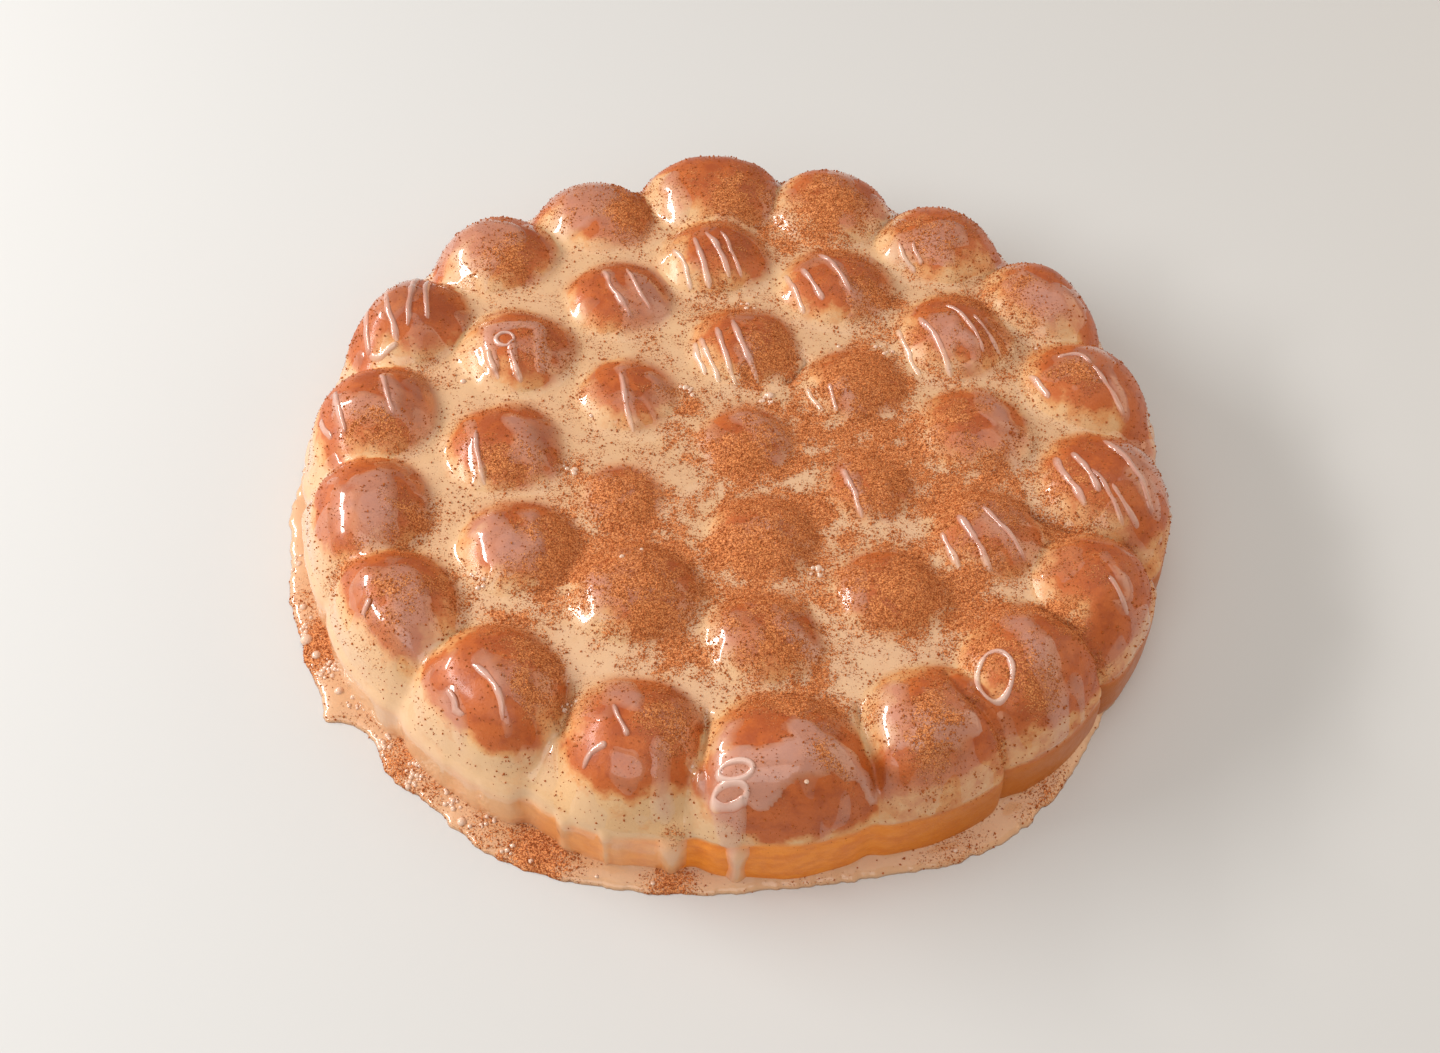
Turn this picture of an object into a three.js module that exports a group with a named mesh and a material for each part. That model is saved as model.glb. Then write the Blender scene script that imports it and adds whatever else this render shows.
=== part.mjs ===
import * as THREE from 'three';

// A round pull-apart loaf: domed buns that rose together in a round tin, with an upright
// baked side, a rounded bottom edge and a flat underside. Millimetres, +Z up, origin at
// the middle of the underside.

const loafRadius = 137;        // widest, where the side met the tin
const footRadius = 134;        // flat underside
const footTurn = 8;            // height over which the side turns under to the foot
const sideHeight = 18;         // upright baked side, below the domes
const creaseDepth = 1.8;       // how far the side is pinched in between two outer buns
const creaseWidth = 4;         // half-width of that pinch, along the side
const bodyRise = 16;           // dough that fills the gaps between the domes, above the side
const bodyShoulder = 6;        // power of its curve: flat in the middle, round at the rim
const creaseSoftness = 2;      // rounding where two domes meet
const domeFullness = 2.2;      // power of a dome's curve: 2 is an ellipse, more is squarer
const patternShift = [0, -3];  // middle of the rings of buns

// Buns ring by ring, clockwise from the back (+Y). turn and out nudge each bun from its even
// place, in degrees and millimetres; rise is its top above the side, reach its half-width.
const bunRings = [
  {
    radius: 2,
    first: 110,
    turn: [0],
    out: [0],
    rise: [24],
    reach: [23],
  },
  {
    radius: 42,
    first: 354,
    turn: [5, 0, -1, -4, 1, 1],
    out: [-1, 2, 1, -3, 2, -1],
    rise: [26, 25, 23.5, 25, 23, 25],
    reach: [25, 24, 22, 23.5, 21.5, 23.5],
  },
  {
    radius: 77,
    first: 354,
    turn: [-2, -1, 0, 0, 0, -2, 0, 2, 1, 0, 1, 1],
    out: [5, -1, 7, -4, 5, -4, -1, -9, 3, -3, 4, -3],
    rise: [27, 27, 27, 26, 26, 25, 25, 27, 26, 27, 27, 26],
    reach: [25, 25, 25.5, 25, 24, 23.5, 24, 26, 25, 25, 25.5, 24.5],
  },
  {
    radius: 116,
    first: 354,
    turn: [0, 0, 0, 1, 0, 1, 1, -1, -3, -1, 0, 2, 2, 0, -1, -1, 0, -1],
    out: [2, -3, -3, 5, -4, -4, 1, 0, 1, 2, -4, 0, 5, 1, -1, 5, 0, -3],
    rise: [29, 28, 27, 27, 26, 27, 26, 27, 27, 28, 26, 27, 27, 27, 27, 28, 27, 25],
    reach: [29, 25.5, 25, 25, 25, 26, 25, 26, 26, 29, 24.5, 26, 26, 25.5, 25.5, 26.5, 25, 25],
  },
];

const outerRing = bunRings.at(-1);
const meshRings = 34;          // rings of facets from the middle of the top to its rim
const rimCrowding = 0.1;       // how much closer those rings lie near the rim
const rimCrowdingPower = 8;
const sideLevels = [1, 0.72, 0.42, 0.2, 0.07, 0];  // heights of the side's facets, as shares
const evenReach = 2.4;         // how far the top's height is evened out around a point
const evenSamples = 8;

function bunsOf(ring) {
  return ring.turn.map((turn, index) => {
    const bearing = THREE.MathUtils.degToRad(ring.first + turn + (index * 360) / ring.turn.length);
    const distance = ring.radius + ring.out[index];
    const x = patternShift[0] + distance * Math.sin(bearing);
    const y = patternShift[1] + distance * Math.cos(bearing);
    return {
      x,
      y,
      angle: Math.atan2(y, x),
      distance: Math.hypot(x, y),
      rise: ring.rise[index],
      reach: ring.reach[index],
      outer: ring === outerRing,
    };
  });
}

const buns = bunRings.flatMap(bunsOf);
const outerBuns = buns.filter((bun) => bun.outer);

// Bearings of the creases in the side, halfway between neighbouring outer buns.
const creaseAngles = outerBuns.map((bun, index) => {
  const next = outerBuns[(index + 1) % outerBuns.length];
  return bun.angle + angleBetween(bun.angle, next.angle) / 2;
});

function angleBetween(from, to) {
  return Math.atan2(Math.sin(to - from), Math.cos(to - from));
}

// Radius of the upright side in one direction, pinched in at the creases.
function sideRadius(angle) {
  let pinch = 0;
  for (const crease of creaseAngles) {
    const along = (angleBetween(crease, angle) * loafRadius) / creaseWidth;
    pinch += Math.exp(-along * along);
  }
  return loafRadius - creaseDepth * pinch;
}

// Height of one dome over a point, or nothing where the point is outside it. An outer bun
// reaches out to the side of the loaf.
function domeHeight(bun, x, y) {
  const along = (x * Math.cos(bun.angle) + y * Math.sin(bun.angle)) - bun.distance;
  const across = -x * Math.sin(bun.angle) + y * Math.cos(bun.angle);
  const alongReach = bun.outer && along > 0 ? loafRadius - bun.distance : bun.reach;
  const share = Math.abs(along / alongReach) ** domeFullness + Math.abs(across / bun.reach) ** domeFullness;
  return share < 1 ? bun.rise * Math.sqrt(1 - share) : null;
}

// Height of the top surface: the dough body and all domes, softly joined.
function topHeight(x, y) {
  const reach = Math.min(Math.hypot(x, y) / sideRadius(Math.atan2(y, x)), 1);
  const body = bodyRise * Math.sqrt(1 - reach ** bodyShoulder);
  let sum = Math.exp(body / creaseSoftness);
  for (const bun of buns) {
    const dome = domeHeight(bun, x, y);
    if (dome !== null) {
      sum += Math.exp(dome / creaseSoftness) - 1;
    }
  }
  return sideHeight + creaseSoftness * Math.log(sum);
}

// The same height evened out over about one facet, so that the facets meet cleanly in a crease.
function evenHeight(x, y) {
  let sum = topHeight(x, y);
  for (let step = 0; step < evenSamples; step += 1) {
    const angle = (step * 2 * Math.PI) / evenSamples;
    sum += topHeight(x + evenReach * Math.cos(angle), y + evenReach * Math.sin(angle));
  }
  return sum / (evenSamples + 1);
}

// Radius of the side at one height, turning under in a quarter ellipse at the foot.
function wallRadius(angle, z) {
  const lift = Math.min(z / footTurn, 1);
  const turnUnder = (loafRadius - footRadius) * (1 - Math.sqrt(1 - (1 - lift) ** 2));
  return sideRadius(angle) - turnUnder;
}

// Joins ring k of 6k points to the next ring out, one sextant at a time.
function joinTopRings(faces, k) {
  const inner = (step) => (k === 0 ? 0 : 1 + 3 * k * (k - 1) + (step % (6 * k)));
  const outer = (step) => 1 + 3 * k * (k + 1) + (step % (6 * (k + 1)));
  for (let sextant = 0; sextant < 6; sextant += 1) {
    const innerStart = sextant * k;
    const outerStart = sextant * (k + 1);
    for (let step = 0; step <= k; step += 1) {
      faces.push(inner(innerStart + step), outer(outerStart + step), outer(outerStart + step + 1));
      if (step < k) {
        faces.push(inner(innerStart + step), outer(outerStart + step + 1), inner(innerStart + step + 1));
      }
    }
  }
}

function loafGeometry() {
  const points = [];
  const faces = [];
  points.push(0, 0, evenHeight(0, 0));
  for (let k = 1; k <= meshRings; k += 1) {
    const share = k / meshRings;
    const spread = (1 + rimCrowding) * share - rimCrowding * share ** rimCrowdingPower;
    for (let step = 0; step < 6 * k; step += 1) {
      const angle = (step * Math.PI) / (3 * k);
      const radius = sideRadius(angle) * spread;
      const x = radius * Math.cos(angle);
      const y = radius * Math.sin(angle);
      points.push(x, y, k === meshRings ? sideHeight : evenHeight(x, y));
    }
    joinTopRings(faces, k - 1);
  }
  const around = 6 * meshRings;
  let upper = points.length / 3 - around;
  for (const level of sideLevels.slice(1)) {
    const lower = points.length / 3;
    const z = level * sideHeight;
    for (let step = 0; step < around; step += 1) {
      const angle = (step * 2 * Math.PI) / around;
      const radius = wallRadius(angle, z);
      points.push(radius * Math.cos(angle), radius * Math.sin(angle), z);
    }
    for (let step = 0; step < around; step += 1) {
      const next = (step + 1) % around;
      faces.push(upper + step, lower + step, lower + next);
      faces.push(upper + step, lower + next, upper + next);
    }
    upper = lower;
  }
  const middle = points.length / 3;
  points.push(0, 0, 0);
  for (let step = 0; step < around; step += 1) {
    faces.push(middle, upper + ((step + 1) % around), upper + step);
  }
  const geometry = new THREE.BufferGeometry();
  geometry.setAttribute('position', new THREE.Float32BufferAttribute(points, 3));
  geometry.setIndex(faces);
  geometry.computeBoundingBox();
  const middleOfBox = geometry.boundingBox.getCenter(new THREE.Vector3());
  geometry.translate(-middleOfBox.x, -middleOfBox.y, 0);
  geometry.computeVertexNormals();
  return geometry;
}

const crust = new THREE.MeshStandardMaterial({ color: 0xc98250, roughness: 0.38, metalness: 0 });
const loaf = new THREE.Mesh(loafGeometry(), crust);
loaf.name = 'bun_loaf';

const group = new THREE.Group();
group.add(loaf);

export default group;
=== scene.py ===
import math

import bpy
import numpy as np
from mathutils import Matrix, Vector


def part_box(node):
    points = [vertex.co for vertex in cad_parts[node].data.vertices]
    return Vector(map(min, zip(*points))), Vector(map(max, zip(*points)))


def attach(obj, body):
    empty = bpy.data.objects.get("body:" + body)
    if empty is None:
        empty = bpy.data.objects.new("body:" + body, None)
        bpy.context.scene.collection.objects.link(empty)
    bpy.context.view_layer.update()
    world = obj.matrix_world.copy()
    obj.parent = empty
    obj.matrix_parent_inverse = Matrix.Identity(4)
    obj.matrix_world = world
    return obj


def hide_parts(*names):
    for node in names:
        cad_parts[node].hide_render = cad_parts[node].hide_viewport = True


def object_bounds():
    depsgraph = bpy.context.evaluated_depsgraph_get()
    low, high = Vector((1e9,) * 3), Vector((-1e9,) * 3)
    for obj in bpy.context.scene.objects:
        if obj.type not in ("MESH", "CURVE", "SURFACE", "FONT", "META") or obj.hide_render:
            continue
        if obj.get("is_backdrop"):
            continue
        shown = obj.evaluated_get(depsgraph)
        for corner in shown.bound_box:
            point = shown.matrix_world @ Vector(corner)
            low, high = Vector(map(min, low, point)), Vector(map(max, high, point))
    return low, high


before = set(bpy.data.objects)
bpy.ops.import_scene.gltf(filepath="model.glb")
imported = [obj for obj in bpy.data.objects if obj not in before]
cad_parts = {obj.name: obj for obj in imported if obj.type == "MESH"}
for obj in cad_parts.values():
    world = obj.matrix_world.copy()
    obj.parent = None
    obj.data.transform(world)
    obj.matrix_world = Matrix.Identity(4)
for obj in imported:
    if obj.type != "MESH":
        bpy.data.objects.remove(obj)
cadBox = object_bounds()
mm = 0.001
loafLow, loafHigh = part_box("bun_loaf")
print("frame loaded")

# All shapes are worked out in millimetres and become metres when their mesh is made.

# Form of the loaf, as the solid has it
loaf = {
    "radius": (loafHigh.x - loafLow.x) / 2 / mm,
    "footRadius": 134.0,
    "footTurn": 8.0,  # height over which the side turns under
    "sideHeight": 18.0,
    "creaseDepth": 1.8,  # pinch in the side between two outer buns
    "creaseWidth": 4.0,
    "bodyRise": 16.0,  # dough in the gaps between the domes
    "bodyShoulder": 6.0,
    "domeFullness": 2.2,
    "crustSoftness": 1.0,  # rounding where two domes meet
    "patternShift": (0.0, -3.0),
    "seamDepth": 0.7,  # groove where the browned side meets the domes
    "seamHeight": 18.6,
    "seamWidth": 1.5,
    "lumps": [(16.0, 0.55), (7.0, 0.22)],  # size and height of the dough's unevenness
    "groove": (1.5, 1.9),  # half-width and depth of a crease between two buns
    "leastSlopes": (0.01, 0.02),  # of the body and of a dome, so that a gap stays finite
}

# Buns ring by ring, clockwise from the back; degrees and millimetres, as in the solid
bunRings = [
    {"radius": 2, "first": 110, "turn": [0], "out": [0], "rise": [24], "reach": [23]},
    {
        "radius": 42,
        "first": 354,
        "turn": [5, 0, -1, -4, 1, 1],
        "out": [-1, 2, 1, -3, 2, -1],
        "rise": [26, 25, 23.5, 25, 23, 25],
        "reach": [25, 24, 22, 23.5, 21.5, 23.5],
    },
    {
        "radius": 77,
        "first": 354,
        "turn": [-2, -1, 0, 0, 0, -2, 0, 2, 1, 0, 1, 1],
        "out": [5, -1, 7, -4, 5, -4, -1, -9, 3, -3, 4, -3],
        "rise": [27, 27, 27, 26, 26, 25, 25, 27, 26, 27, 27, 26],
        "reach": [25, 25, 25.5, 25, 24, 23.5, 24, 26, 25, 25, 25.5, 24.5],
    },
    {
        "radius": 116,
        "first": 354,
        "turn": [0, 0, 0, 1, 0, 1, 1, -1, -3, -1, 0, 2, 2, 0, -1, -1, 0, -1],
        "out": [2, -3, -3, 5, -4, -4, 1, 0, 1, 2, -4, 0, 5, 1, -1, 5, 0, -3],
        "rise": [29, 28, 27, 27, 26, 27, 26, 27, 27, 28, 26, 27, 27, 27, 27, 28, 27, 25],
        "reach": [29, 25.5, 25, 25, 25, 26, 25, 26, 26, 29, 24.5, 26, 26, 25.5, 25.5, 26.5, 25, 25],
    },
]


def listBuns():
    rows = []
    for ring in bunRings:
        count = len(ring["turn"])
        for index in range(count):
            bearing = math.radians(ring["first"] + ring["turn"][index] + index * 360 / count)
            distance = ring["radius"] + ring["out"][index]
            x = loaf["patternShift"][0] + distance * math.sin(bearing)
            y = loaf["patternShift"][1] + distance * math.cos(bearing)
            outer = ring is bunRings[-1]
            rows.append((x, y, ring["rise"][index], ring["reach"][index], outer))
    return np.array(rows, float)


buns = listBuns()
bunAngle = np.arctan2(buns[:, 1], buns[:, 0])
bunDistance = np.hypot(buns[:, 0], buns[:, 1])
bunRise, bunReach, bunOuter = buns[:, 2], buns[:, 3], buns[:, 4] > 0
outerAngle = bunAngle[bunOuter]


def turnBetween(start, end):
    return np.arctan2(np.sin(end - start), np.cos(end - start))


def byAzimuth(angle, table):
    # value at an angle from a table of azimuths in degrees (-180 to 180) and values
    return np.interp(np.degrees(turnBetween(0.0, angle)), *zip(*table))


creaseAngle = outerAngle + turnBetween(outerAngle, np.roll(outerAngle, -1)) / 2


def smoothStep(low, high, value):
    share = np.clip((value - low) / (high - low), 0, 1)
    return share * share * (3 - 2 * share)


latticeSize = 128


def softNoise(x, y, size, seed):
    # smooth random values of about -1 to 1, with lumps as wide as size, on a turned lattice
    lattice = np.random.default_rng(seed).uniform(-1, 1, (latticeSize, latticeSize))
    turned = (0.8 * x - 0.6 * y) / size, (0.6 * x + 0.8 * y) / size
    column, row = [np.floor(v).astype(int) for v in turned]
    u, v = [w - np.floor(w) for w in turned]
    u, v = [w**3 * (w * (w * 6 - 15) + 10) for w in (u, v)]
    corner = lambda i, j: lattice[(column + i) % latticeSize, (row + j) % latticeSize]
    near = corner(0, 0) * (1 - u) + corner(1, 0) * u
    far = corner(0, 1) * (1 - u) + corner(1, 1) * u
    return near * (1 - v) + far * v


def polar(radius, angle, *rest):
    # points in plan at a radius and an angle, with what follows as further coordinates
    return np.stack([radius * np.cos(angle), radius * np.sin(angle), *rest], -1)


def sideRadius(angle):
    pinch = np.zeros_like(angle)
    for crease in creaseAngle:
        pinch += np.exp(-((turnBetween(crease, angle) * loaf["radius"] / loaf["creaseWidth"]) ** 2))
    return loaf["radius"] - loaf["creaseDepth"] * pinch


def bodyGap(x, y, z, side, rise, shoulder):
    # signed distance, about, to a low round body with an upright side
    lift = np.clip(z / loaf["footTurn"], 0, 1)
    turnUnder = (loaf["radius"] - loaf["footRadius"]) * (1 - np.sqrt(1 - (1 - lift) ** 2))
    seam = loaf["seamDepth"] * np.exp(-(((z - loaf["seamHeight"]) / loaf["seamWidth"]) ** 2))
    wall = side - turnUnder - seam
    distance = np.maximum(np.hypot(x, y), 1e-3)
    flat = (distance / wall) ** shoulder
    height = np.maximum(z - loaf["sideHeight"], 0) / rise
    slope = np.sqrt((shoulder * flat / distance) ** 2 + (2 * height / rise) ** 2)
    return (flat + height**2 - 1) / np.maximum(slope, loaf["leastSlopes"][0])


def domeShares(x, y, near):
    # how far a point is from the middle of its nearest domes to their edge, along and across
    angle, distance, reach = bunAngle[near], bunDistance[near], bunReach[near]
    along = x * np.cos(angle) + y * np.sin(angle) - distance
    across = -x * np.sin(angle) + y * np.cos(angle)
    outward = bunOuter[near] & (along > 0)
    alongReach = np.where(outward, loaf["radius"] - distance, reach)
    return np.abs(along) / alongReach, np.abs(across) / reach, alongReach, reach


def domeGaps(x, y, z, near):
    power = loaf["domeFullness"]
    along, across, alongReach, reach = domeShares(x, y, near)
    rise = bunRise[near]
    height = np.maximum(z - loaf["sideHeight"], 0) / rise
    share = along**power + across**power + height**2
    slope = (power * along ** (power - 1) / alongReach) ** 2
    slope += (power * across ** (power - 1) / reach) ** 2 + (2 * height / rise) ** 2
    return (share - 1) / np.maximum(np.sqrt(slope), loaf["leastSlopes"][1])


def nearestBuns(x, y, count=5):
    away = (x - buns[:, :1]) ** 2 + (y - buns[:, 1:2]) ** 2
    return np.argpartition(away, count, axis=0)[:count]


def crustGap(x, y, z, side, near):
    gaps = [bodyGap(x, y, z, side, loaf["bodyRise"], loaf["bodyShoulder"])]
    gaps = np.concatenate([gaps, domeGaps(x, y, z, near)])
    return -loaf["crustSoftness"] * np.log(np.exp(-gaps / loaf["crustSoftness"]).sum(0))


# Rays from inside the loaf: upright below the top, fanned over the rim, level at the side
rays = {
    "innerRings": 120,
    "pivotRadius": 112.0,
    "pivotHeight": 13.0,
    "fanRows": 42,
    "fanLength": 44.0,  # of the rim, when it is unrolled for the bake map
    "sideRows": 13,
    "middle": 26.0,  # how far along a ray its nearest buns and the dough's lumps are looked up
    "longest": 46.0,
    "halvings": 17,
}


def discFaces(rings):
    start = lambda k: 1 + 3 * k * (k - 1) if k else 0
    rows = []
    for k in range(rings):
        step = np.arange(6 * (k + 1))
        sextant, offset = step // (k + 1), step % (k + 1)
        outer = start(k + 1) + step
        outerNext = start(k + 1) + (step + 1) % (6 * (k + 1))
        inner = start(k) + (sextant * k + offset) % max(6 * k, 1)
        rows.append(np.stack([inner, outer, outerNext], 1))
        if k:
            kept = offset < k
            innerNext = start(k) + (sextant * k + offset + 1) % (6 * k)
            rows.append(np.stack([inner, outerNext, innerNext], 1)[kept])
    return np.concatenate(rows)


def stripFaces(upper, lower):
    upperNext, lowerNext = np.roll(upper, -1), np.roll(lower, -1)
    first = np.stack([upper, lower, lowerNext], 1)
    return np.concatenate([first, np.stack([upper, lowerNext, upperNext], 1)])


def makeRays():
    rings, pivot, height = rays["innerRings"], rays["pivotRadius"], rays["pivotHeight"]
    around, outerRows = 6 * rings, rays["fanRows"] + rays["sideRows"]
    turn = np.arange(around) * 2 * math.pi / around
    rows = [(np.zeros(1), 0.0, height, 0.0, 0.0)]
    for k in range(1, rings + 1):
        angle = np.arange(6 * k) * math.pi / (3 * k)
        rows.append((angle, pivot * k / rings, height, 0.0, pivot * k / rings))
    for row in range(1, outerRows + 1):
        share = min(row / rays["fanRows"], 1)
        drop = max(row - rays["fanRows"], 0) / rays["sideRows"]
        unrolled = pivot + rays["fanLength"] * share + height * drop
        rows.append((turn, pivot, height * (1 - drop), share * math.pi / 2, unrolled))
    angle = np.concatenate([row[0] for row in rows])
    counts = [len(row[0]) for row in rows]
    radius, level, tilt, unrolled = np.repeat([row[1:] for row in rows], counts, axis=0).T
    faces = [discFaces(rings)]
    upper = np.arange(around) + 1 + 3 * rings * (rings - 1)
    for _ in range(outerRows):
        faces.append(stripFaces(upper, upper + around))
        upper = upper + around
    heading = polar(np.sin(tilt), angle, np.cos(tilt))
    return polar(radius, angle, level), heading, angle, unrolled, np.concatenate(faces), upper


rayOrigin, rayHeading, rayAngle, rayUnrolled, topFaces, footRow = makeRays()


def rayPoints(reach):
    return rayOrigin + rayHeading * np.reshape(reach, (-1, 1))


raySide = sideRadius(rayAngle)
rayMiddle = rayPoints(rays["middle"])[:, :2].T
rayNear = nearestBuns(*rayMiddle)


def reachOf(gap, origin, heading, low, high):
    for _ in range(rays["halvings"]):
        middle = (low + high) / 2
        outside = gap(*(origin + heading * middle[:, None]).T) > 0
        high = np.where(outside, middle, high)
        low = np.where(outside, low, middle)
    return (low + high) / 2


def crustReachOf(origin, heading, side, near, lumps):
    low, high = np.zeros(len(side)), np.full(len(side), rays["longest"])
    return reachOf(lambda *p: crustGap(*p, side, near) - lumps, origin, heading, low, high)


# Lines where two buns press together
creaseLines = [
    (91, -64, 98, -70), (98, -70, 112, -80), (90, -28, 100, -32), (100, -32, 114, -34.5),
    (114, -34.5, 127, -38), (61, -90, 66, -100), (66, -100, 74, -104.5), (74, -104.5, 82, -112),
    (36, -100, 39, -112), (39, -112, 41, -122), (-7, -104, -7, -118), (-7, -118, -6, -130),
    (-47, -96, -47, -110), (15, 24, 20, 33),
]


def strokeDistance(x, y, x0, y0, x1, y1):
    length = max((x1 - x0) ** 2 + (y1 - y0) ** 2, 1e-6)
    share = np.clip(((x - x0) * (x1 - x0) + (y - y0) * (y1 - y0)) / length, 0, 1)
    return np.hypot(x - x0 - share * (x1 - x0), y - y0 - share * (y1 - y0))


def creaseShare(x, y):
    away = np.full(x.shape, 99.0)
    for line in creaseLines:
        away = np.minimum(away, strokeDistance(x, y, *line))
    away = away + 0.35 * softNoise(x, y, 4.0, 22)
    return np.exp(-((away / loaf["groove"][0]) ** 2))


def grooveAt(x, y):
    return loaf["groove"][1] * creaseShare(x, y)


def lumpsAt(x, y):
    return sum(h * softNoise(x, y, size, 11 + n) for n, (size, h) in enumerate(loaf["lumps"]))


rayLumps = lumpsAt(*rayMiddle)
crustReach = crustReachOf(rayOrigin, rayHeading, raySide, rayNear, rayLumps)
rayGroove = grooveAt(*rayPoints(crustReach)[:, :2].T)
crustReach, rayLumps = crustReach - rayGroove, rayLumps - rayGroove
crustPoints = rayPoints(crustReach)
print("crust worked out:", len(crustPoints), "points")

# Where the milk glaze lies: films and softness in millimetres
glaze = {
    "rise": 19.3,  # level of the glaze between the buns, above the side
    "shoulder": 8.0,
    "rimPull": 4.2,  # how far inside the loaf's side the pools end
    "softness": (0.9, 0.7),  # rounding where a pool meets a dome, inside and at the rim
    "rimFrom": (104, 130),  # radii between which it turns from the one to the other
    "ripple": (9.0, 0.25),
    "bare": -0.35,  # film below the crust, where none shows
    "smear": 0.09,  # thin film that lies here and there over the domes
    "smearFrom": (-0.15, 0.45),  # and the levels of noise between which it comes in
    "veil": 0.46,  # film of a veil that lies over a dome
    "veilEdge": (2.0, -3.8),  # where its edge begins and ends, outside and inside the stroke
    "sharpVeil": 0.62,
    "sharpEdge": (0.4, -0.9),
    "bead": (0.05, 1.5),  # thicker edge of a veil, and how far inside it lies
    "wander": (5.0, 1.1),  # size and reach of the wobble in a veil's edge
    "sheet": 0.3,  # film on the pale lower flanks
    "dip": 2.2,  # dip of the glaze where two buns press together
    "cover": 1.6,  # film on the side where it ran down
    "coverLevels": (20.5, 17.5),  # heights over which that film takes over, downwards
    "runEdge": (2.2, -3.0),  # where the edge of a run begins and ends
    "runTip": (2.5, 1.6),  # how early the lowest end of a run rounds off, and how sharply
    "flank": (119, 129),  # radii over which the domes turn into flanks
    "flankLevels": (33, 26),  # and heights over which they do, downwards
    "leastDepth": -0.2,  # a facet is kept where a corner of it is at least this deep
    "search": (-2.5, 12.0),  # where the glaze is looked for, below and above the crust
}

# Veils of glaze over single domes: x, y, x, y, half-width of a rounded stroke
veils = [
    (-27, 112, -24, 99, 4.5), (10, 101, 16, 93, 2.6), (55, 84, 69, 90, 7), (57, 82, 66, 80, 5),
    (92, 68, 101, 56, 6.5), (104, 63, 101, 54, 5), (104, 33, 110, 33, 2), (118, 27, 122, 16, 2.2),
    (118, -5, 127, -23, 3.2), (108, -48, 116, -58, 2.4), (78, -68, 86, -82, 5.5), (86, -84, 93, -96, 5),
    (45, -98, 46, -112, 5), (51, -107, 60, -109, 4), (-5, -122, 0, -112, 4), (-32, -100, -28, -106, 5),
    (-19, -119, -18, -130, 3.6), (-70, -92, -64, -104, 2.4), (-80, -103, -75, -112, 2.6),
    (-64, -104, -62, -114, 2), (-96, -68, -90, -84, 7), (-110, -32, -107, -48, 7),
    (-112, 12, -107, -2, 3), (-118, 0, -111, -2, 4), (-128, 7, -123, -8, 2.3), (-97, 80, -88, 70, 7.5),
    (-90, 84, -80, 80, 7), (-60, 94, -53, 106, 8.5), (23, 79, 36, 58, 2.8), (64, 46, 72, 35, 6.2),
    (77, 20, 82, 6, 4.5), (83, -3, 86, -8, 2.6), (70, -30, 84, -46, 3.2), (34, -54, 35, -66, 3.6),
    (-2, -76, -2, -86, 3), (14, -75, 21, -83, 4.6), (-42, -62, -39, -72, 4), (-75, -45, -67, -55, 6.5),
    (-62, -40, -60, -50, 3.5), (-84, -3, -79, -24, 2.6), (-70, -4, -64, -15, 4.8), (-36, 62, -29, 52, 5),
    (-47, 66, -38, 48, 2.2), (31, 20, 35, 9, 3), (33, -13, 38, -29, 3), (44, -22, 46, -30, 3.6),
    (8, -41, 14, -49, 4.6), (-42, -25, -42, -36, 3.6), (-39, 22, -33, 1, 2.4), (-30, 20, -26, 15, 1.8),
    (1, 4, 9, -1, 5), (-12, -2, -8, -12, 3.6), (0, 28, -2, 20, 1.2),
]

# Thicker veils with a clear edge
sharpVeils = [
    (-3, -126, 4, -125, 5.4), (4, -125, 14, -125, 4.8), (14, -123, 24, -121, 5.6),
    (20, -115, 22, -118, 4.4), (24, -119, 32, -121, 4.8), (32, -121, 39, -123.5, 2.6),
    (-2, -128, 1, -134, 4.2), (5, -128, 10, -129.5, 4.4), (52, -114, 61, -111, 3.8),
    (61, -111, 67, -108, 3.2), (-82, 35, -67, 38, 2.4), (-82, 32, -79.5, 20, 1.9),
    (-74, 28, -72, 18, 1.5), (-66, 36, -64, 22, 2.6),
]

# Bare spots inside the veils: x, y, half-width
veilHoles = [(71, 34, 2), (-77, 30, 2), (-72, 30, 1.6), (10.8, -116.5, 3.4), (90, 56, 2.6)]

# Glaze that ran down the side: azimuth, half-width, lowest point, wobble
sideRuns = [
    (-88.6, 3.4, 0, 0.8), (-96.3, 4.4, 0, 1.2), (-104, 2.8, 0, 0.8), (-109.4, 4.2, 0, 1),
    (-118, 9, 0, 2.2), (-131, 17, 0, 2.4), (-144, 16, 0, 2), (-157, 17, 0, 2), (-171, 14, 0, 2),
    (179, 7, 2, 1.6), (167, 4, 6, 1), (157, 8, 0, 1.4), (141, 3.2, 3, 0.8), (129, 5, 0, 1.2),
    (112, 3, 9, 0.8), (101, 6.5, 0, 1.4), (84, 3, 4, 0.8), (70, 5, 0, 1.2), (56, 2.8, 8, 0.6),
    (43, 6, 0, 1.4), (27, 3, 5, 0.8), (11, 4.4, 0, 1), (-4, 2.6, 10, 0.6), (-17, 3.2, 3, 0.8),
]

# Film on the side between those runs: azimuth, thickness
sideWet = [
    (-180, 1.5), (-124, 1.4), (-112, 0.7), (-97, 0.4), (-91, -0.8), (-60, -1), (100, -1), (150, -0.3),
    (180, 1.5),
]

# Share of the sheet of glaze that the pale lower flanks carry: azimuth, share
sheetShares = [
    (-180, 1), (-118, 0.95), (-106, 0.5), (-92, 0.1), (-76, 0), (-62, 0.2), (-30, 0.4), (20, 0.3),
    (60, 0.5), (100, 0.7), (150, 0.6), (180, 1),
]


def strokeEdge(x, y, strokes):
    # how far outside, or inside where negative, the nearest stroke a place is
    edge = np.full(x.shape, 99.0)
    for x0, y0, x1, y1, width in strokes:
        edge = np.minimum(edge, strokeDistance(x, y, x0, y0, x1, y1) - width)
    for holeX, holeY, width in veilHoles:
        edge = np.maximum(edge, width - np.hypot(x - holeX, y - holeY))
    return edge


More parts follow.
